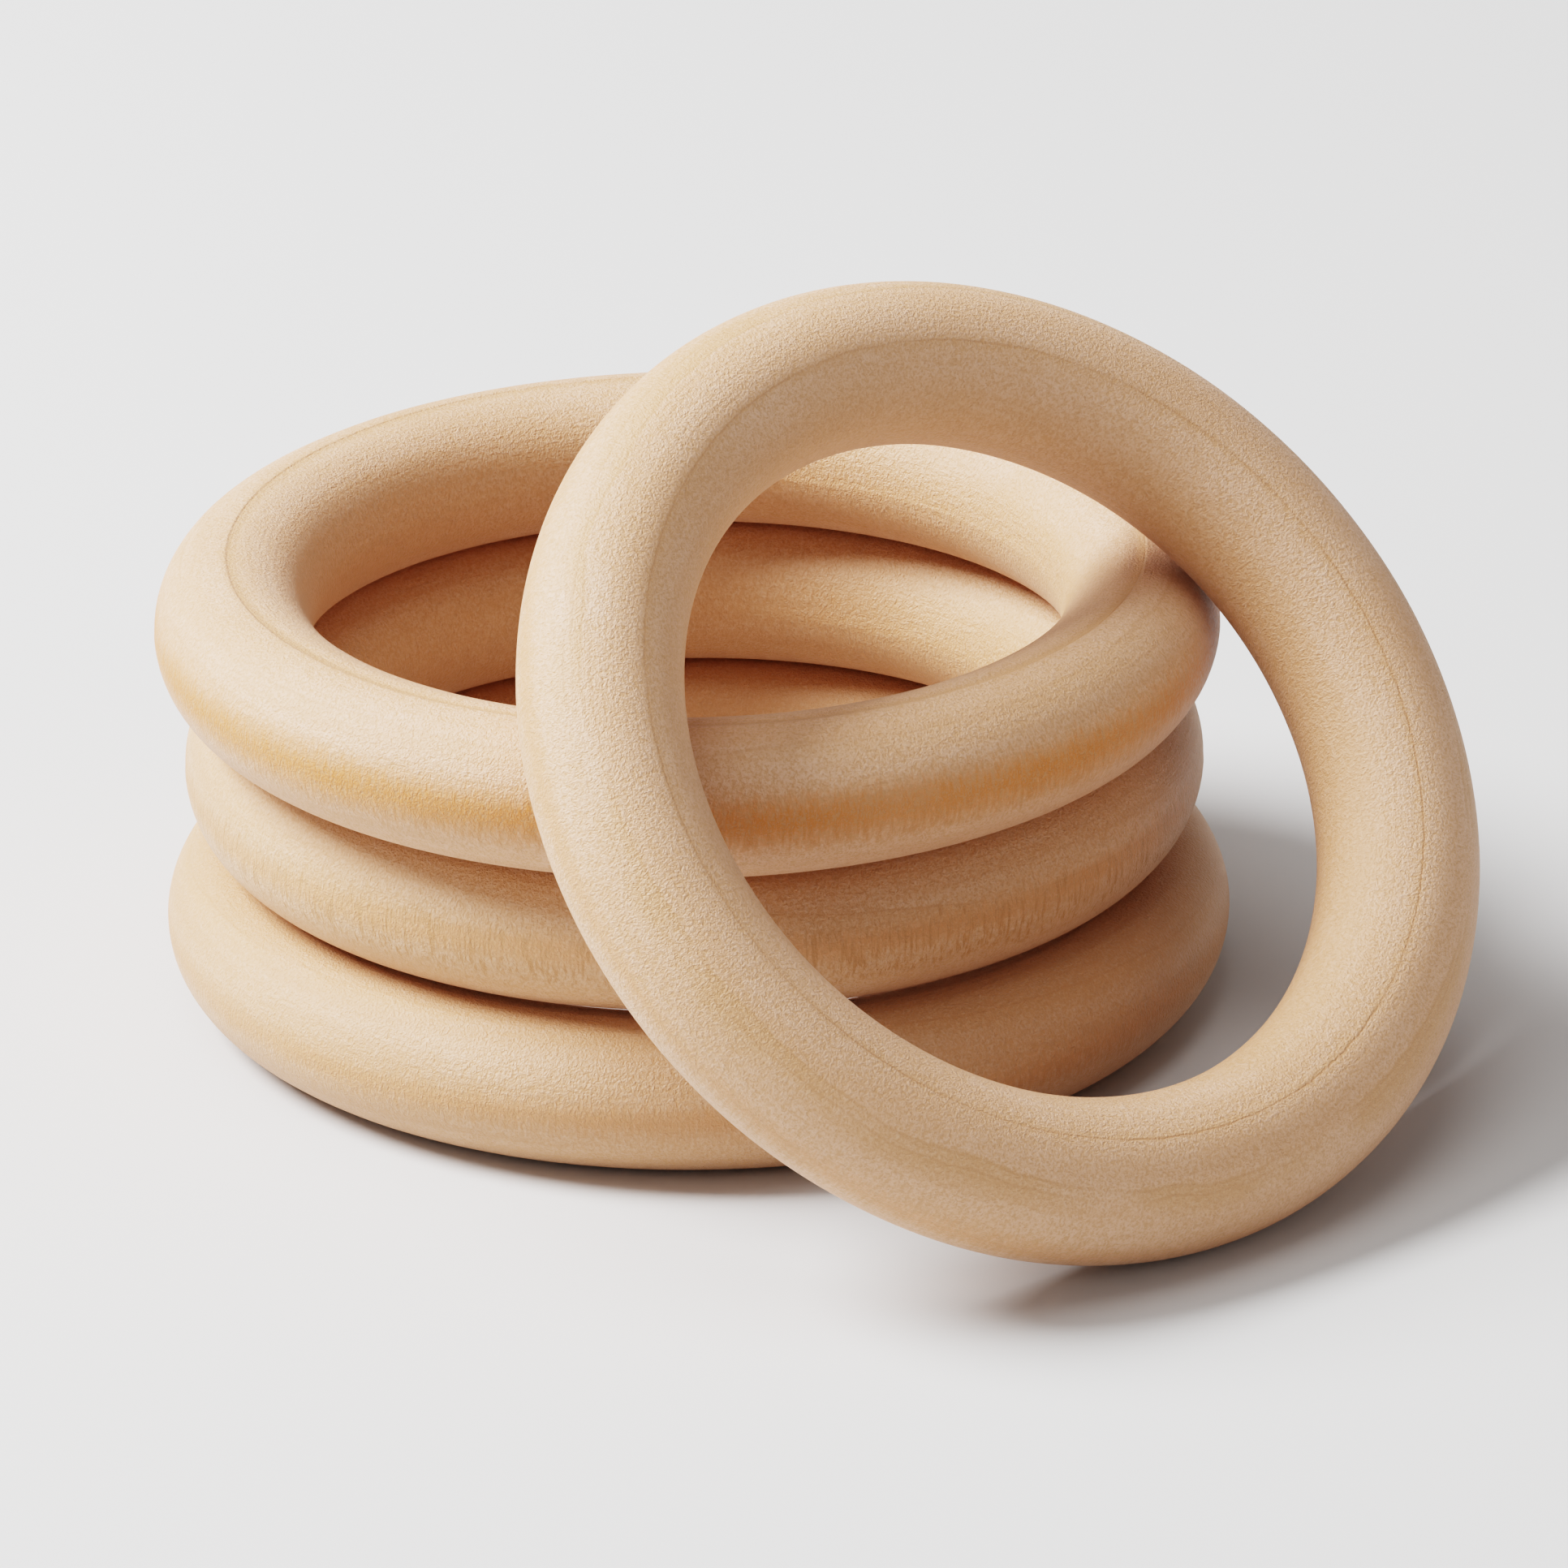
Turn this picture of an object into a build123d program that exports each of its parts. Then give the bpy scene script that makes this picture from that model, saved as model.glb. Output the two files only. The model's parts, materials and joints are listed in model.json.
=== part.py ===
from build123d import *
from dataclasses import dataclass
import math
import os


# Four turned wooden rings: three stacked flat, and a fourth that stands on the floor and leans on the stack.
# Lengths are in mm and angles in degrees. +Z is up, the floor is z = 0, and the origin is the middle of
# the footprint of all four rings.


@dataclass
class Ring:
    """The sizes of one turned ring."""

    mid_radius: float  # from the ring's centre to the middle of its section
    half_width: float  # half of the section, across the ring
    half_height: float  # half of the section, along the ring's axis
    seam_angle: float  # where the crown seam lies round the section: 0 is outermost, 90 the crown

    @property
    def outer_radius(self):
        return self.mid_radius + self.half_width


# ---- driving dimensions ----

bottom = Ring(mid_radius=76.2, half_width=13.8, half_height=12.8, seam_angle=92)
middle = Ring(mid_radius=73.4, half_width=12.6, half_height=13.2, seam_angle=93)
top = Ring(mid_radius=76.0, half_width=13.3, half_height=13.0, seam_angle=86.5)
leaning = Ring(mid_radius=72.6, half_width=13.5, half_height=13.5, seam_angle=98)

seam_step = 0.12  # the inner cut goes this much deeper than the outer cut, which shows where they meet
resting_gap = 0.15  # left between rings that rest on each other

middle_shift = (-0.4, 3.0)  # the middle and top rings' axes, from the bottom ring's axis
top_shift = (-1.3, -0.9)

lean_heading = 37.7  # direction of the leaning ring from the top ring's axis, from -Y towards +X
lean_angle = 43.8  # how far the leaning ring's plane is tipped back from upright
lean_reach = 83.8  # plan distance from the top ring's axis to the leaning ring's centre


# ---- places, from the bottom ring's axis ----

UP = Vector(0, 0, 1)

heading = Vector(math.sin(math.radians(lean_heading)), -math.cos(math.radians(lean_heading)), 0)
lean_axis = heading * math.cos(math.radians(lean_angle)) + UP * math.sin(math.radians(lean_angle))
foot_direction = heading * math.sin(math.radians(lean_angle)) - UP * math.cos(math.radians(lean_angle))

bottom_height = bottom.half_height
middle_height = bottom_height + bottom.half_height + resting_gap + middle.half_height
top_height = middle_height + middle.half_height + resting_gap + top.half_height
lean_height = leaning.mid_radius * math.cos(math.radians(lean_angle)) + leaning.half_width

lean_x = top_shift[0] + lean_reach * heading.X
lean_y = top_shift[1] + lean_reach * heading.Y


# ---- the footprint, whose middle is the origin ----


def leaning_half_extent(axis_component):
    """Half of the leaning ring's size along a world axis, from its own axis's component along it."""
    return leaning.mid_radius * math.sqrt(1 - axis_component**2) + leaning.half_width


left = min(-bottom.outer_radius, middle_shift[0] - middle.outer_radius, top_shift[0] - top.outer_radius)
back = max(bottom.outer_radius, middle_shift[1] + middle.outer_radius, top_shift[1] + top.outer_radius)
right = lean_x + leaning_half_extent(lean_axis.X)
front = lean_y - leaning_half_extent(lean_axis.Y)
stack_x = -(left + right) / 2
stack_y = -(front + back) / 2

bottom_centre = Vector(stack_x, stack_y, bottom_height)
middle_centre = Vector(stack_x + middle_shift[0], stack_y + middle_shift[1], middle_height)
top_centre = Vector(stack_x + top_shift[0], stack_y + top_shift[1], top_height)
lean_centre = Vector(stack_x + lean_x, stack_y + lean_y, lean_height)


# ---- the turned section ----


def section_plane(centre, ring_axis, outwards):
    """The plane that holds a ring's section: x runs outwards from the ring's centre, y along its axis."""
    return Plane(origin=centre, x_dir=outwards, z_dir=outwards.cross(ring_axis))


def turned_section(ring):
    """The outline left by two lathe cuts, one from the outside of the ring and one from the inside.

    The outer cut runs from seam to seam round the outside, and the inner cut takes the rest of the section,
    slightly deeper, so that they meet in a small step on both faces."""
    with BuildLine() as outline:
        outer_cut = EllipticalCenterArc(
            center=(ring.mid_radius, 0),
            x_radius=ring.half_width,
            y_radius=ring.half_height,
            start_angle=-ring.seam_angle,
            arc_size=2 * ring.seam_angle,
        )
        inner_cut = EllipticalCenterArc(
            center=(ring.mid_radius, 0),
            x_radius=ring.half_width - seam_step,
            y_radius=ring.half_height - seam_step,
            start_angle=ring.seam_angle,
            arc_size=360 - 2 * ring.seam_angle,
        )
        Line(outer_cut @ 1, inner_cut @ 0)
        Line(inner_cut @ 1, outer_cut @ 0)
    return outline.edges()


# ---- the rings ----

with BuildPart() as bottom_ring:
    with BuildSketch(section_plane(bottom_centre, UP, Vector(1, 0, 0))):
        make_face(turned_section(bottom))
    revolve(axis=Axis(bottom_centre, UP))

with BuildPart() as middle_ring:
    with BuildSketch(section_plane(middle_centre, UP, Vector(1, 0, 0))):
        make_face(turned_section(middle))
    revolve(axis=Axis(middle_centre, UP))

with BuildPart() as top_ring:
    with BuildSketch(section_plane(top_centre, UP, Vector(1, 0, 0))):
        make_face(turned_section(top))
    revolve(axis=Axis(top_centre, UP))

with BuildPart() as leaning_ring:
    with BuildSketch(section_plane(lean_centre, lean_axis, foot_direction)):
        make_face(turned_section(leaning))
    revolve(axis=Axis(lean_centre, lean_axis))


# ---- labels and files ----

bottom_ring.part.label = "bottom_ring"
middle_ring.part.label = "middle_ring"
top_ring.part.label = "top_ring"
leaning_ring.part.label = "leaning_ring"

os.makedirs("parts", exist_ok=True)
export_step(bottom_ring.part, "parts/bottom_ring.step")
export_step(middle_ring.part, "parts/middle_ring.step")
export_step(top_ring.part, "parts/top_ring.step")
export_step(leaning_ring.part, "parts/leaning_ring.step")

for built in (bottom_ring, middle_ring, top_ring, leaning_ring):
    box = built.part.bounding_box()
    print(built.part.label, "from", box.min, "to", box.max)
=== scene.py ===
"""Four turned wooden rings, three stacked and one leaning on them, on a pale floor.

Lengths are in metres, except those whose names end in mm and everything in the wood's patterns,
which is in millimetres. Angles in the looks are in degrees."""

import json
import math
from types import SimpleNamespace

import bpy
import numpy as np
from mathutils import Matrix, Vector


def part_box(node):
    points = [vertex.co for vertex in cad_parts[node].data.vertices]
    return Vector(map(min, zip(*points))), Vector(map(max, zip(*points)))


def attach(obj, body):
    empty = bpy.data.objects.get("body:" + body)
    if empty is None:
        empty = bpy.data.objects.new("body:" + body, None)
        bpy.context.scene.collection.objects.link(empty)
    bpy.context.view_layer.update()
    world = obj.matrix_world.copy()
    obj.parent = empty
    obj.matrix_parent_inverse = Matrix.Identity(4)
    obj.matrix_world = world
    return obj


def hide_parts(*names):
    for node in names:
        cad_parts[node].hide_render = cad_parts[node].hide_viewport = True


MM = 0.001

# Camera: where it stands from the bottom ring's axis on the floor, and how it is turned.
CAMERA_BACK = 1.6138
CAMERA_UP = 0.7415
CAMERA_PITCH = math.radians(23.68)
CAMERA_YAW = math.radians(-0.52)
CAMERA_ROLL = math.radians(0.54)
SENSOR = 36.0
LENS = 239.5

# Mesh of each ring: steps round the ring, steps round its section, and extra steps at each seam.
RING_STEPS = 480
SECTION_STEPS = 84
SEAM_OFFSETS_MM = (-1.1, -0.7, -0.42, -0.26, -0.14, -0.05, 0.05, 0.14, 0.26, 0.42, 0.7, 1.1)

# The seam where the two lathe cuts meet, at the crown of each face.
SEAM_STEP = 0.12 * MM
SEAM_GROOVE_WIDTH = 0.22 * MM
SEAM_SWAY_REACH = 8 * MM
SEAM_CLEAREST = math.radians(285.0)  # round each ring, where its seam shows most

# Slow waves that hand sanding leaves: how many, and the least and most (not reached) cycles of one.
SANDING_WAVES = 16
SANDING_ROUND_RING = (2, 26)
SANDING_ROUND_SECTION = (0, 5)

# How finely each pattern of the wood repeats, per mm along the ring's own x, y and z.
WARP_SCALE = (0.018, 0.018, 0.03)
LAYER_SCALE = (0.012, 0.012, 0.33)
CLOUD_SCALE = (0.05, 0.05, 0.09)
LINE_BREAK_SCALE = (0.035, 0.035, 0.1)
RAY_SCALE = (1.7, 1.7, 0.13)
RAY_REACH_SCALE = (0.35, 0.35, 0.02)
BAND_PATCH_SCALE = (0.045, 0.045, 0.0)
SEAM_WANDER_SCALE = (0.22, 0.22, 0.22)
SEAM_FADE_SCALE = (0.06, 0.06, 0.06)
FUZZ_SCALE = (1.8, 1.8, 1.2)
GRIT_SCALE = 2.7
PORE_SCALE = (0.42, 0.42, 0.3)
STREAK_SCALE = (1.1, 1.1, 2.5)  # per mm of radius, per mm of height and per radian of turn
SEED_SPACING = 37.0  # how far apart in the patterns two rings with successive seeds are cut

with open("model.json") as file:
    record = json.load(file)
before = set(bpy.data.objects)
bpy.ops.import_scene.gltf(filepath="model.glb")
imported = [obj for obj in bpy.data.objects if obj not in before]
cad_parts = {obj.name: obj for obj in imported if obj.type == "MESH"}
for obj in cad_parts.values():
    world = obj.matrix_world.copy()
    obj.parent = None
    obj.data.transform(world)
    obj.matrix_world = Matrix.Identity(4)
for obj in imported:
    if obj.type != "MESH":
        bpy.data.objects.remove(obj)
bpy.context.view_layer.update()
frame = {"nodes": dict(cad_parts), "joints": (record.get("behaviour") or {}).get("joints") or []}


# ---- the rings' places and sizes, from the frame ----

def ring_axis(node):
    """The direction of a ring's own axis: up in the stack, square to its plane if it leans."""
    for joint in frame["joints"]:
        if joint["child"] == node and joint["type"] == "hinge":
            low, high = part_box(node)
            foot = (Vector(joint["pos_m"]) - (low + high) / 2).normalized()
            axis = Vector(joint["axis"]).cross(foot).normalized()
            return axis if axis.z > 0 else -axis
    return Vector((0, 0, 1))


def ring_frame(node):
    """A ring's centre, two directions in its plane (the second points up or back) and its axis."""
    low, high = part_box(node)
    axis = ring_axis(node)
    across = Vector((0, 0, 1)).cross(axis)
    across = across.normalized() if across.length > 1e-6 else Vector((1, 0, 0))
    return (low + high) / 2, across, axis.cross(across), axis


def section_size(node):
    """Middle radius, half-width and half-height of a ring's section, read from its CAD mesh."""
    centre, across, upward, axis = ring_frame(node)
    points = np.array([v.co for v in frame["nodes"][node].data.vertices]) - np.array(centre)
    along = points @ np.array(axis)
    radius = np.hypot(points @ np.array(across), points @ np.array(upward))
    outer = radius.max()
    inner = radius.min() - SEAM_STEP
    return (outer + inner) / 2, (outer - inner) / 2, np.abs(along).max()


# ---- geometry ----

def section_angles(seam, radius):
    """Angles round the section, even but for a close set at the seam on each face."""
    close = np.radians(seam) + np.array(SEAM_OFFSETS_MM) * MM / radius
    even = np.linspace(-math.pi, math.pi, SECTION_STEPS, endpoint=False)
    gap = 2 * math.pi / SECTION_STEPS
    keep = np.abs(np.abs(even) - np.radians(seam)) > close[-1] - np.radians(seam) + 0.5 * gap
    return np.sort(np.concatenate([even[keep], close, -close]))


def undulation(turn, angle, rng):
    """Slow unevenness left by hand sanding, as waves round the ring and round the section."""
    height = np.zeros(np.broadcast(turn, angle).shape)
    for _ in range(SANDING_WAVES):
        round_ring = rng.integers(*SANDING_ROUND_RING)
        round_section = rng.integers(*SANDING_ROUND_SECTION)
        phase_ring, phase_section = rng.uniform(0, 2 * math.pi, 2)
        size = rng.normal() / (1 + 0.12 * round_ring)
        wave = np.cos(round_ring * turn + phase_ring) * np.cos(round_section * angle + phase_section)
        height += size * wave
    return height


def surface_depth(turn, angle, from_seam, look, rng):
    """How far the finished surface lies below the plain lathe-cut section, in metres."""
    inner_cut = np.clip(from_seam / (look["step_width_mm"] * MM) + 0.5, 0, 1)
    groove = np.exp(-((from_seam / SEAM_GROOVE_WIDTH) ** 2))
    hollow_half = look["hollow_mm"] * MM / 2
    hollow = np.clip(1 - ((from_seam - hollow_half) / hollow_half) ** 2, 0, 1)
    clear_seam = np.clip(np.cos(turn - SEAM_CLEAREST) + 0.4, 0.25, 1)
    marks_mm = (look["groove_mm"] * groove + look["hollow_depth_mm"] * hollow) * clear_seam
    marks_mm += look["unevenness_mm"] * (1 + undulation(turn, angle, rng)) / 2
    depth = SEAM_STEP * inner_cut + marks_mm * MM
    return depth * np.where(angle < 0, look["underside"], 1)


def grid_faces(rows, columns):
    """Quads of a grid that closes on itself both ways."""
    row, column = np.meshgrid(np.arange(rows), np.arange(columns), indexing="ij")
    next_row = (row + 1) % rows
    next_column = (column + 1) % columns
    corners = [row * columns + column, next_row * columns + column,
               next_row * columns + next_column, row * columns + next_column]
    return np.stack(corners, -1).reshape(-1, 4)


def build_ring(node, look):
    """One ring as a closed mesh: two lathe cuts that meet in a fine step and groove at the crown."""
    centre, across, upward, axis = ring_frame(node)
    middle, half_width, half_height = section_size(node)
    rng = np.random.default_rng(look["seed"])
    turns = np.linspace(0, 2 * math.pi, RING_STEPS, endpoint=False)
    angles = section_angles(look["seam"], half_width)
    turn, angle = np.meshgrid(turns, angles, indexing="ij")
    from_seam = (np.abs(angle) - math.radians(look["seam"])) * half_width
    sway, sway_turn = np.radians(look["seam_sway"])
    near_seam = np.exp(-((from_seam / SEAM_SWAY_REACH) ** 2))
    angle = angle + np.sign(angle) * sway * np.cos(turn - sway_turn) * near_seam

    depth = surface_depth(turn, angle, from_seam, look, rng)
    radial = middle + (half_width - depth) * np.cos(angle)
    along = (half_height - depth) * np.sin(angle)
    local = np.stack([radial * np.cos(turn), radial * np.sin(turn), along], -1).reshape(-1, 3)
    world = np.array(centre) + local @ np.array([across, upward, axis])
    faces = grid_faces(*turn.shape)

    mesh = bpy.data.meshes.new(node + "_wood")
    mesh.from_pydata(world.tolist(), [], faces.tolist())
    mesh.update()
    mesh.polygons.foreach_set("use_smooth", np.ones(len(faces), bool))
    stored = mesh.attributes.new("ring_local", "FLOAT_VECTOR", "POINT")
    stored.data.foreach_set("vector", (local / MM).astype(np.float32).ravel())
    section = SimpleNamespace(middle=middle / MM, half_width=half_width / MM, half_height=half_height / MM)
    mesh.materials.append(wood_material(node + "_wood", look, section))
    piece = bpy.data.objects.new(node + "_wood", mesh)
    bpy.context.scene.collection.objects.link(piece)
    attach(piece, node)
    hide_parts(node)
    return piece


# ---- short ways to build a material ----

class Nodes:
    """Adds shader nodes to one material and links them."""

    def __init__(self, material):
        self.tree = material.node_tree

    def add(self, kind, **settings):
        node = self.tree.nodes.new("ShaderNode" + kind)
        for name, value in settings.items():
            setattr(node, name, value)
        return node

    def put(self, socket, value):
        """Links a socket, or sets a plain value, on an input."""
        if isinstance(value, bpy.types.NodeSocket):
            self.tree.links.new(value, socket)
        else:
            socket.default_value = value

    def math(self, operation, a, b=0.0, clamp=False):
        node = self.add("Math", operation=operation, use_clamp=clamp)
        self.put(node.inputs[0], a)
        self.put(node.inputs[1], b)
        return node.outputs[0]

    def sum(self, *terms):
        """The terms added up, in order."""
        total = terms[0]
        for term in terms[1:]:
            total = self.math("ADD", total, term)
        return total

    def times(self, *factors):
        """The factors multiplied, in order."""
        product = factors[0]
        for factor in factors[1:]:
            product = self.math("MULTIPLY", product, factor)
        return product

    def swing(self, pattern, size):
        """A 0 to 1 pattern turned into one that swings by half of size to each side of zero."""
        return self.times(self.math("SUBTRACT", pattern, 0.5), size)

    def distance(self, value, middle):
        """How far value is from middle, on either side."""
        return self.math("ABSOLUTE", self.math("SUBTRACT", value, middle))

    def ramp(self, value, low, high, to_low=0.0, to_high=1.0):
        """Smooth change from to_low to to_high as value goes from low to high."""
        node = self.add("MapRange", interpolation_type="SMOOTHSTEP")
        for name, setting in zip(("Value", "From Min", "From Max", "To Min", "To Max"),
                                 (value, low, high, to_low, to_high)):
            self.put(node.inputs[name], setting)
        return node.outputs[0]

    def stretched(self, parts, scale):
        """A vector from three values, each multiplied by its own scale."""
        node = self.add("CombineXYZ")
        for socket, value, factor in zip(node.inputs, parts, scale):
            self.put(socket, self.times(value, factor))
        return node.outputs[0]

    def scaled(self, vector, scale, shift):
        """A vector scaled along each axis, and then shifted to another part of a pattern."""
        node = self.add("Mapping")
        self.put(node.inputs["Vector"], vector)
        self.put(node.inputs["Scale"], scale)
        self.put(node.inputs["Location"], shift)
        return node.outputs[0]

    def noise(self, vector, scale=1.0, detail=2.0, roughness=0.5, distortion=0.0):
        node = self.add("TexNoise")
        self.put(node.inputs["Vector"], vector)
        for name, value in (("Scale", scale), ("Detail", detail), ("Roughness", roughness),
                            ("Distortion", distortion)):
            self.put(node.inputs[name], value)
        return node.outputs["Fac"]

    def mix(self, amount, a, b):
        node = self.add("Mix", data_type="RGBA")
        self.put(node.inputs["Factor"], amount)
        self.put(node.inputs["A"], a)
        self.put(node.inputs["B"], b)
        return node.outputs["Result"]


def colour(red, green, blue):
    return (red, green, blue, 1.0)


# ---- the wood, patterned in each ring's own solid coordinates, in millimetres ----
#
# Growth layers lie nearly parallel to the ring's plane, and rays run along its axis. Below, n is
# the material's nodes, place is a point's place on the ring, and look is one of LOOKS. Shifts
# only pick a part of a pattern. The numbers in a ramp are thresholds, in mm, degrees or noise.

def ring_place(n, section, seed):
    """Where a point is on its ring: x, y, z, radius, and the angle round the section.

    The angle is in degrees, 0 on the outside and 90 at the crown, negative underneath."""
    vector = n.add("Attribute", attribute_name="ring_local").outputs["Vector"]
    split = n.add("SeparateXYZ")
    n.put(split.inputs[0], vector)
    x, y, z = split.outputs
    radius = n.math("SQRT", n.sum(n.times(x, x), n.times(y, y)))
    outwards = n.math("DIVIDE", n.math("SUBTRACT", radius, section.middle), section.half_width)
    upwards = n.math("DIVIDE", z, section.half_height)
    signed_angle = n.math("DEGREES", n.math("ARCTAN2", upwards, outwards))
    clouds = n.noise(n.scaled(vector, CLOUD_SCALE, (1.7, seed, 5.0)), detail=3.0, roughness=0.55)
    return SimpleNamespace(vector=vector, x=x, y=y, z=z, radius=radius, signed_angle=signed_angle,
                           angle=n.math("ABSOLUTE", signed_angle), clouds=clouds, seed=seed,
                           half_width=section.half_width)


def plane_over(n, place, rise_x, rise_y):
    """Height of a sloping plane through the ring's centre, over each point."""
    return n.sum(n.times(place.x, rise_x), n.times(place.y, rise_y))


def warped_layer(n, place, look):
    """Depth through the growth layers, which are warped and slightly tilted."""
    warp = n.noise(n.scaled(place.vector, WARP_SCALE, (place.seed, 3.0, 1.0)))
    tilted = n.sum(place.z, plane_over(n, place, *look["layer_tilt"]))
    return n.sum(tilted, n.swing(warp, look["layer_warp"]))


def turning_streaks(n, place):
    """Faint streaks that run round the ring, left by turning."""
    turn = n.math("ARCTAN2", place.y, place.x)
    return n.noise(n.stretched((place.radius, place.z, turn), STREAK_SCALE), roughness=0.6)


def base_tone(n, place, look, layer, streaks):
    """Pale on the faces and warmer in the late wood, with warm painted bounce light inside the hole."""
    layers = n.noise(n.stretched((place.x, place.y, layer), LAYER_SCALE), detail=4.0, roughness=0.6)
    tone = n.mix(n.ramp(layers, 0.36, 0.66), look["pale"], look["warm"])
    tone = n.mix(n.ramp(place.clouds, 0.4, 0.66, 0.0, 0.55), tone, look["warm"])
    tone = n.mix(n.ramp(streaks, 0.42, 0.62, 0.0, 0.3), tone, look["warm"])
    # Painted bounce light: the inside of the hole is tinted warm, as light reflected across the hole would
    # colour it.
    edge = n.sum(place.angle, n.swing(place.clouds, 60.0))
    painted_bounce = n.ramp(edge, 116.0, 158.0, 0.0, look["painted_bounce_strength"])
    tone = n.mix(painted_bounce, tone, look["bounce_and_grain_colour"])
    if look["late_wood"]:
        level, softness, strength = look["late_wood"]
        late = n.sum(layer, n.swing(place.clouds, 1.2))
        amount = n.ramp(late, level - softness, level + softness, 0.0, strength)
        tone = n.mix(amount, tone, look["warm_deep"])
    return tone


def add_growth_lines(n, place, look, tone):
    """Thin lines where curved layers come to the outer side, each over a warm glow below it."""
    here = n.noise(n.scaled(place.vector, LINE_BREAK_SCALE, (4.0, place.seed, 9.0)), detail=3.0)
    here = n.ramp(here, 0.34, 0.54)
    outer_side = n.ramp(place.angle, 78.0, 94.0, 1.0, 0.0)
    for level, rise_x, rise_y, strength in look["growth_lines"]:
        sheet = n.math("SUBTRACT", place.z, plane_over(n, place, rise_x, rise_y))
        sheet = n.math("SUBTRACT", sheet, level)
        sheet = n.sum(sheet, n.swing(place.clouds, 2.2))
        line = n.ramp(n.math("ABSOLUTE", sheet), 0.04, 0.2, strength, 0.0)
        tone = n.mix(n.times(line, outer_side, here), tone, look["line_colour"])
        # The glow below a line is the grain's own colour, the same colour as the painted bounce light in
        # the hole.
        below = n.ramp(sheet, -3.6, -0.2, 0.0, strength)
        cut_off = n.ramp(sheet, 0.0, 0.4, 1.0, 0.0)
        tone = n.mix(n.times(below, cut_off, outer_side, here), tone, look["bounce_and_grain_colour"])
    return tone


def ray_dashes(n, place, look):
    """A pattern drawn out along the ring's axis, and the dashes it makes near the equator."""
    rays = n.noise(n.scaled(place.vector, RAY_SCALE, (place.seed, 1.0, 2.0)),
                   roughness=0.55, distortion=0.25)
    reach = n.noise(n.scaled(place.vector, RAY_REACH_SCALE, (2.0, 6.0, place.seed)))
    from_middle = n.distance(place.signed_angle, look["ray_middle"])
    from_middle = n.math("SUBTRACT", from_middle, n.swing(reach, 34.0))
    in_band = n.ramp(from_middle, look["ray_half"] * 0.55, look["ray_half"], 1.0, 0.0)
    return rays, n.times(n.ramp(rays, 0.5, 0.64), in_band, look["ray_strength"])


def add_outer_band(n, place, look, tone, rays, dashes):
    """The amber band round the outside, its edges broken along the rays, and the rays over it."""
    ragged_angle = n.sum(place.signed_angle, n.swing(rays, 34.0))
    band = n.ramp(n.distance(ragged_angle, look["band_middle"]), 0.0, look["band_half"], 1.0, 0.0)
    patches = n.noise(n.scaled(place.vector, BAND_PATCH_SCALE, (place.seed, 8.0, 0.0)))
    patches = n.ramp(patches, 0.3, 0.6, 0.85, 1.0)
    tone = n.mix(n.times(band, patches, look["band_strength"]), tone, look["amber"])
    faint_rays = n.times(n.ramp(rays, 0.5, 0.8), 0.12)
    return n.mix(n.math("ADD", dashes, faint_rays, clamp=True), tone, look["ray_colour"])


def add_crown_seam(n, place, look, tone):
    """The seam, a thin brown line that comes and goes, with its glow and the strip beside it, whose colour
    is partly a tool mark and partly painted shade of the hollow there.
    """
    sway, sway_turn = look["seam_sway"][0], math.radians(look["seam_sway"][1])
    swayed = plane_over(n, place, sway * math.cos(sway_turn), sway * math.sin(sway_turn))
    seam_angle = n.sum(n.math("DIVIDE", swayed, place.radius), look["seam"])
    from_seam = n.math("SUBTRACT", place.angle, seam_angle)
    from_seam = n.times(from_seam, math.radians(place.half_width))
    wander = n.noise(n.scaled(place.vector, SEAM_WANDER_SCALE, (place.seed, 0.0, 4.0)), detail=3.0)
    from_line = n.math("ABSOLUTE", n.sum(from_seam, n.swing(wander, 0.7)))

    facing = plane_over(n, place, math.cos(SEAM_CLEAREST), math.sin(SEAM_CLEAREST))
    clear_seam = n.ramp(n.math("DIVIDE", facing, place.radius), -0.4, 0.6, 0.6, 1.0)
    fade = n.noise(n.scaled(place.vector, SEAM_FADE_SCALE, (3.0, 2.0, place.seed)), detail=3.0)
    fade = n.ramp(fade, 0.3, 0.6, 0.5, 1.0)

    glow = n.times(n.ramp(from_line, 0.1, 1.1, 0.35, 0.0), fade)
    tone = n.mix(glow, tone, look["warm_deep"])
    # The strip's colour is partly the tool mark's own and partly painted shade of the hollow beside the
    # seam.
    strip = n.times(n.ramp(from_seam, -0.1, 0.15), n.ramp(from_seam, 0.5, look["strip_mm"], 1.0, 0.0))
    tone = n.mix(n.times(strip, clear_seam, look["strip_and_shade_strength"]), tone, look["strip_and_shade_colour"])
    line = n.ramp(from_line, 0.03, look["seam_width_mm"], 1.0, 0.0)
    line = n.times(line, fade, look["seam_strength"], clear_seam)
    return n.mix(line, tone, look["line_colour"]), line


def sanded_fuzz(n, place):
    """Short raised fibres, and the same with finer grit mixed in."""
    fuzz = n.noise(n.scaled(place.vector, FUZZ_SCALE, (0.0, place.seed, 0.0)),
                   roughness=0.6, distortion=0.5)
    grit = n.noise(place.vector, scale=GRIT_SCALE, roughness=0.6)
    return fuzz, n.sum(n.times(fuzz, 0.6), n.times(grit, 0.4))


def open_pores(n, place):
    """Small scattered dark specks."""
    cells = n.add("TexVoronoi", feature="F1")
    n.put(cells.inputs["Vector"], n.scaled(place.vector, PORE_SCALE, (place.seed, 0.0, 0.0)))
    n.put(cells.inputs["Randomness"], 1.0)
    return n.ramp(cells.outputs["Distance"], 0.05, 0.12, 0.8, 0.0)


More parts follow.
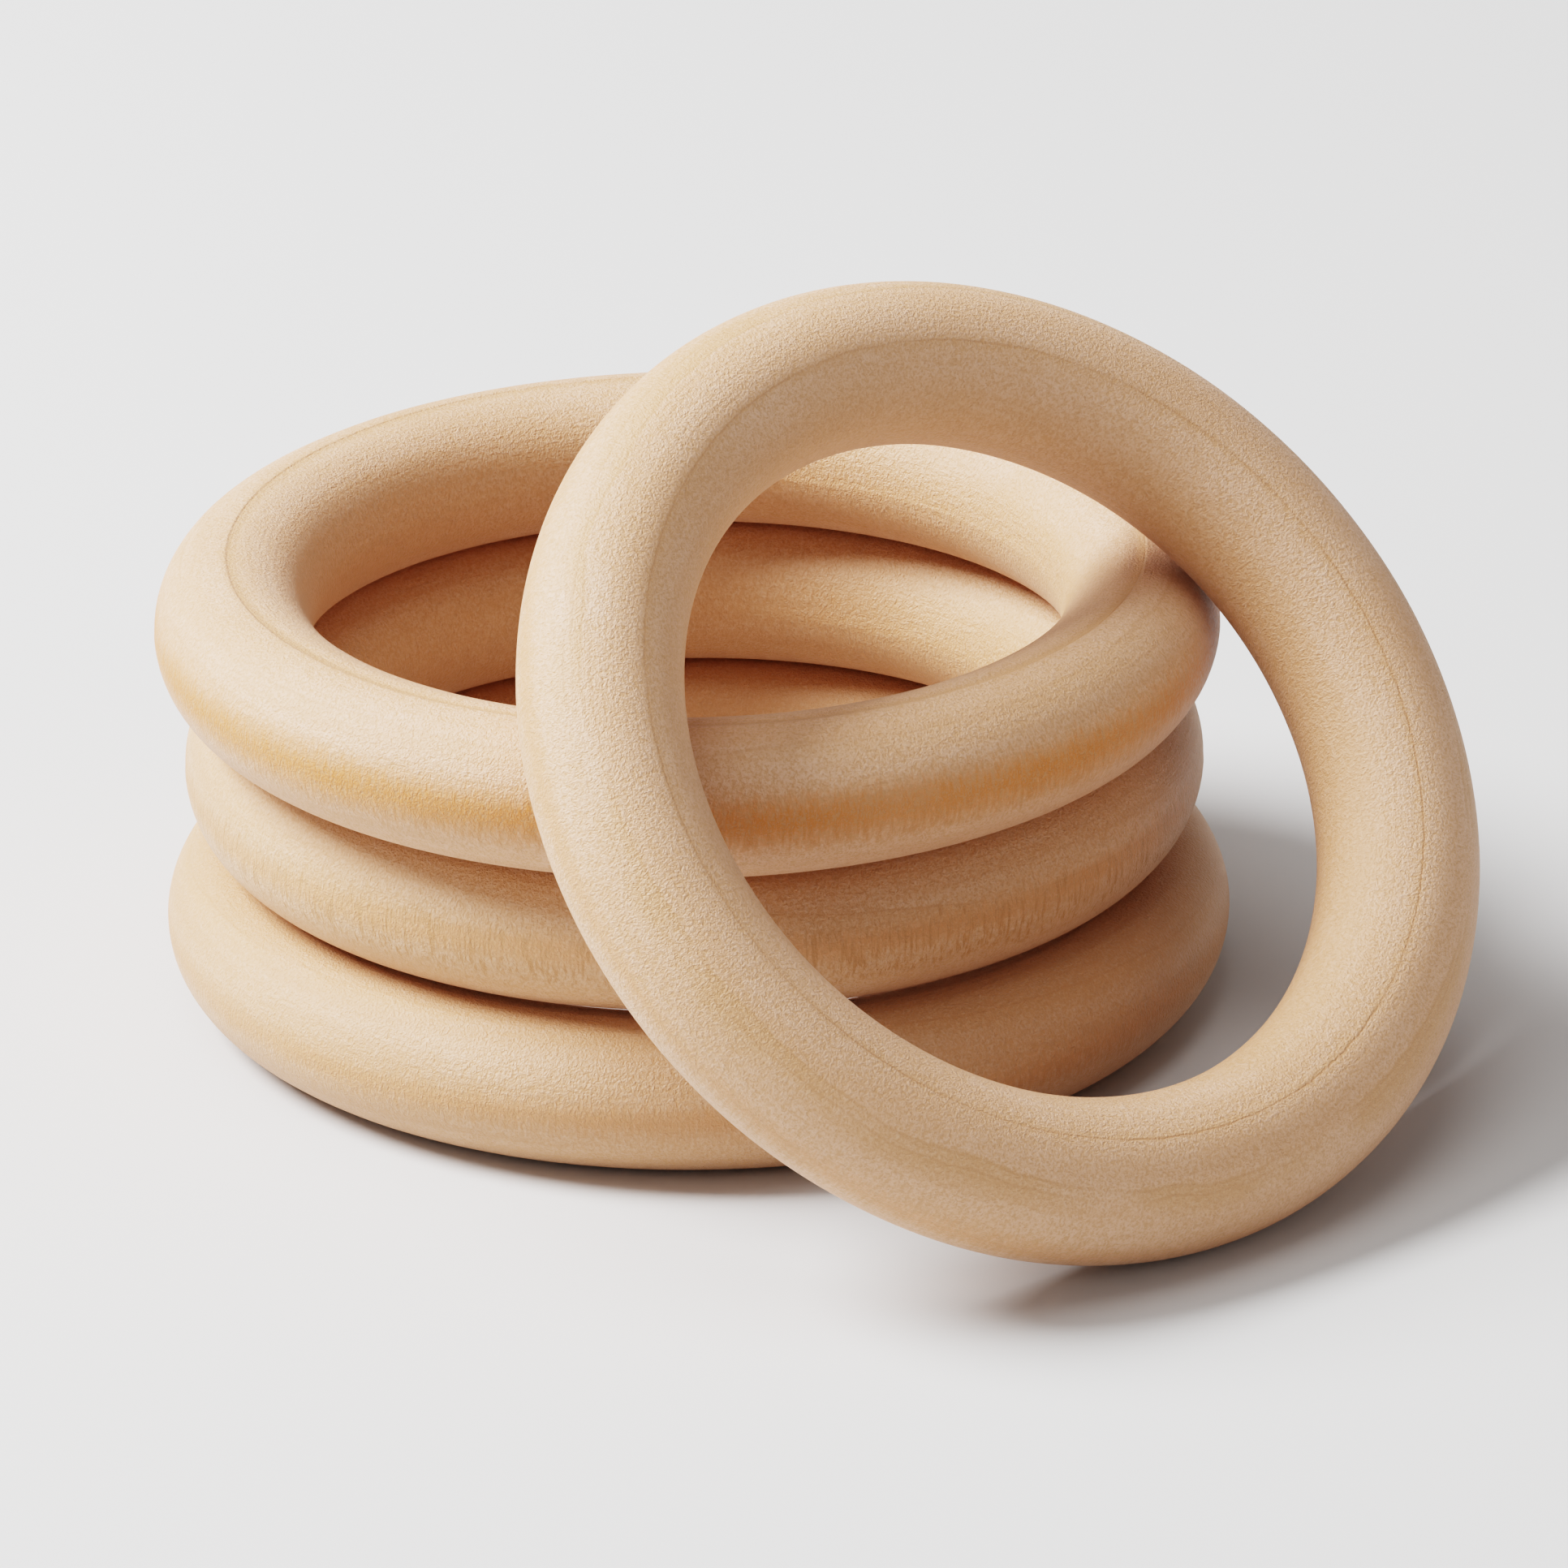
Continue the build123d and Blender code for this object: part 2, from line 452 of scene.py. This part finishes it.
def wood_material(name, look, section):
    """Fine-sanded pale hardwood."""
    material = bpy.data.materials.new(name)
    material.use_nodes = True
    n = Nodes(material)
    shader = n.tree.nodes["Principled BSDF"]
    place = ring_place(n, section, look["seed"] * SEED_SPACING)

    streaks = turning_streaks(n, place)
    tone = base_tone(n, place, look, warped_layer(n, place, look), streaks)
    tone = add_growth_lines(n, place, look, tone)
    rays, dashes = ray_dashes(n, place, look)
    tone = add_outer_band(n, place, look, tone, rays, dashes)
    tone, seam_line = add_crown_seam(n, place, look, tone)
    fuzz, speckle = sanded_fuzz(n, place)
    # The fuzz's colour follows its relief: browner in its low places, painted shade, and lighter on its
    # raised tips, partly painted highlight.
    tone = n.mix(n.ramp(speckle, 0.38, 0.56, 0.75, 0.0), tone, look["warm_deep"])
    tone = n.mix(n.ramp(speckle, 0.5, 0.66, 0.0, 0.16), tone, look["fuzz_tip_and_highlight"])
    pores = open_pores(n, place)
    tone = n.mix(pores, tone, look["brown"])
    n.put(shader.inputs["Base Color"], tone)

    # Gloss: satin, drier where the fuzz stands up and in the seam.
    roughness = n.ramp(fuzz, 0.3, 0.7, look["roughness"] - 0.07, look["roughness"] + 0.09)
    n.put(shader.inputs["Roughness"], n.sum(roughness, n.times(seam_line, 0.1)))
    shader.inputs["IOR"].default_value = 1.47
    shader.inputs["Sheen Weight"].default_value = 0.12
    shader.inputs["Sheen Roughness"].default_value = 0.45
    shader.inputs["Sheen Tint"].default_value = colour(1.0, 0.96, 0.9)

    # Relief, in millimetres: fuzz and streaks stand up, and pores, dashes and the seam lie low.
    relief = n.sum(n.times(speckle, 0.44), n.times(streaks, 0.12))
    for pattern, depth in ((pores, 0.05), (dashes, 0.02), (seam_line, 0.05)):
        relief = n.math("SUBTRACT", relief, n.times(pattern, depth))
    bump = n.add("Bump")
    bump.inputs["Strength"].default_value = 1.0
    bump.inputs["Distance"].default_value = MM
    n.put(bump.inputs["Height"], relief)
    n.put(shader.inputs["Normal"], bump.outputs[0])
    return material


# ---- how each ring looks ----
#
# seam, ray_middle, ray_half, band_middle, band_half: degrees round the section.
# seam_sway: how many degrees the seam strays, and the turn round the ring where it strays most.
# layer_tilt: rise of the growth layers along x and y. layer_warp: their waviness, in mm.
# late_wood: height, half-thickness and strength of a darker layer, if there is one.
# growth_lines: height, rise along x, rise along y and strength of each line.
# underside: the share of the marks' depth below the equator; negative stands proud, so that no
# light shows between rings that rest on each other.
PALE_WOOD = {
    "pale": colour(0.71, 0.43, 0.285),
    "warm": colour(0.65, 0.362, 0.215),
    # warm_deep: deep warm grain colour, and also the painted shade in the fuzz's low places
    "warm_deep": colour(0.54, 0.28, 0.13),
    # lighter colour of the fuzz's raised tips, partly painted highlight
    "fuzz_tip_and_highlight": colour(0.80, 0.59, 0.44),
    "amber": colour(0.56, 0.18, 0.02),
    # painted bounce light: warm colour and strength inside the hole; the colour also serves the grain's
    # glow below growth lines
    "bounce_and_grain_colour": colour(0.59, 0.315, 0.155),
    "painted_bounce_strength": 0.55,
    "brown": colour(0.33, 0.16, 0.07),
    "line_colour": colour(0.42, 0.19, 0.085),
    "ray_colour": colour(0.46, 0.215, 0.08),
    # strip beside the seam: partly tool-mark colour, partly painted shade of the hollow
    "strip_and_shade_colour": colour(0.56, 0.29, 0.14),
    "layer_tilt": (0.02, 0.03),
    "layer_warp": 7.0,
    "late_wood": None,
    "growth_lines": (),
    "ray_middle": 0.0,
    "ray_half": 24.0,
    "ray_strength": 0.25,
    "band_middle": 2.0,
    "band_half": 18.0,
    "band_strength": 0.35,
    "seam_sway": (0.0, 0.0),
    "seam_width_mm": 0.3,
    "seam_strength": 0.6,
    "groove_mm": 0.03,
    "step_width_mm": 0.3,
    "strip_mm": 2.2,
    "strip_and_shade_strength": 0.3,
    "hollow_mm": 2.4,
    "hollow_depth_mm": 0.03,
    "unevenness_mm": 0.05,
    "underside": 1.0,
    "roughness": 0.5,
}

LOOKS = {
    "bottom_ring": {
        **PALE_WOOD, "seed": 11, "seam": 92.0,
        "pale": colour(0.63, 0.37, 0.225), "warm": colour(0.57, 0.31, 0.17),
        "layer_tilt": (0.015, 0.053), "layer_warp": 1.5, "late_wood": (7.75, 0.35, 0.35),
        "growth_lines": ((7.7, -0.015, -0.053, 0.6),),
    },
    "middle_ring": {
        **PALE_WOOD, "seed": 23, "seam": 93.0,
        "pale": colour(0.67, 0.405, 0.25), "warm": colour(0.61, 0.34, 0.19),
        "ray_middle": -5.0, "ray_half": 27.0, "ray_strength": 0.8, "band_strength": 0.4,
        "underside": -0.4, "growth_lines": ((8.2, -0.09, 0.0, 0.5),),
    },
    "top_ring": {
        **PALE_WOOD, "seed": 37, "seam": 86.5,
        "band_half": 31.0, "band_strength": 0.95, "ray_strength": 0.3,
        # dark, strong strip: partly painted shade of this ring's deeper hollow
        "strip_and_shade_strength": 0.95, "strip_mm": 2.6, "hollow_depth_mm": 0.34, "groove_mm": 0.12,
        "underside": -0.4, "growth_lines": ((10.8, 0.01, 0.0, 0.3),),
    },
    "leaning_ring": {
        **PALE_WOOD, "seed": 52, "seam": 98.4,
        "seam_sway": (3.1, 10.0), "seam_strength": 0.9,
        "groove_mm": 0.0, "step_width_mm": 2.2, "hollow_depth_mm": 0.0,
        "growth_lines": ((11.0, 0.0, -0.012, 0.8), (9.6, 0.004, -0.02, 0.6)),
    },
}

for node, look in LOOKS.items():
    build_ring(node, look)


# ---- stage ----

FLOOR_HALF = 20.0
LIGHTS_AIM = Vector((0, 0, 0.05))

# Soft boxes. Heading 0 is the camera's side and 90 its right; height is degrees above the floor.
SOFTBOXES = {
    "key": dict(heading=-99, height=45, distance=2.2, size=1.1, power=118.0, tint=(0.985, 0.99, 1.0)),
    "top": dict(heading=-40, height=82, distance=2.0, size=1.4, power=12.0, tint=(1.0, 0.98, 0.96)),
    "side": dict(heading=62, height=18, distance=2.2, size=1.3, power=4.5, tint=(1.0, 0.98, 0.95)),
    "front": dict(heading=-35, height=25, distance=2.2, size=1.4, power=3.6, tint=(1.0, 0.98, 0.95)),
}


def plain_floor():
    """A pale floor that runs on past every view."""
    mesh = bpy.data.meshes.new("floor")
    corners = [(x * FLOOR_HALF, y * FLOOR_HALF, 0) for x, y in ((-1, -1), (1, -1), (1, 1), (-1, 1))]
    mesh.from_pydata(corners, [], [(0, 1, 2, 3)])
    material = bpy.data.materials.new("floor")
    material.use_nodes = True
    shader = material.node_tree.nodes["Principled BSDF"]
    shader.inputs["Base Color"].default_value = colour(0.62, 0.615, 0.61)
    shader.inputs["Roughness"].default_value = 0.85
    shader.inputs["Specular IOR Level"].default_value = 0.2
    mesh.materials.append(material)
    floor = bpy.data.objects.new("floor", mesh)
    bpy.context.scene.collection.objects.link(floor)


def softbox(name, heading, height, distance, size, power, tint):
    """A round area light aimed at the rings."""
    heading, height = math.radians(heading), math.radians(height)
    away = Vector((math.sin(heading) * math.cos(height), -math.cos(heading) * math.cos(height),
                   math.sin(height)))
    light = bpy.data.lights.new(name, "AREA")
    light.shape = "DISK"
    light.size = size
    light.energy = power
    light.color = tint
    lamp = bpy.data.objects.new(name, light)
    lamp.location = LIGHTS_AIM + away * distance
    lamp.rotation_euler = away.to_track_quat("Z", "Y").to_euler()
    bpy.context.scene.collection.objects.link(lamp)


def studio_light():
    """A dim, even surround and the soft boxes."""
    world = bpy.data.worlds.new("studio")
    bpy.context.scene.world = world
    world.use_nodes = True
    background = world.node_tree.nodes["Background"]
    background.inputs["Color"].default_value = colour(0.96, 0.97, 1.0)
    background.inputs["Strength"].default_value = 0.2
    for name, settings in SOFTBOXES.items():
        softbox(name, **settings)


def camera():
    """The camera, placed from the bottom ring."""
    low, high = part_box("bottom_ring")
    stack = (low + high) / 2
    data = bpy.data.cameras.new("camera")
    data.sensor_width = SENSOR
    data.lens = LENS
    data.clip_start = 0.1
    data.clip_end = 100.0
    view = bpy.data.objects.new("camera", data)
    turned = (Matrix.Rotation(CAMERA_YAW, 4, "Z") @ Matrix.Rotation(math.pi / 2 - CAMERA_PITCH, 4, "X")
              @ Matrix.Rotation(-CAMERA_ROLL, 4, "Z"))
    view.matrix_world = Matrix.Translation((stack.x, stack.y - CAMERA_BACK, CAMERA_UP)) @ turned
    bpy.context.scene.collection.objects.link(view)
    bpy.context.scene.camera = view


plain_floor()
studio_light()
camera()
bpy.context.scene.view_settings.view_transform = "Filmic"
bpy.context.scene.view_settings.look = "High Contrast"
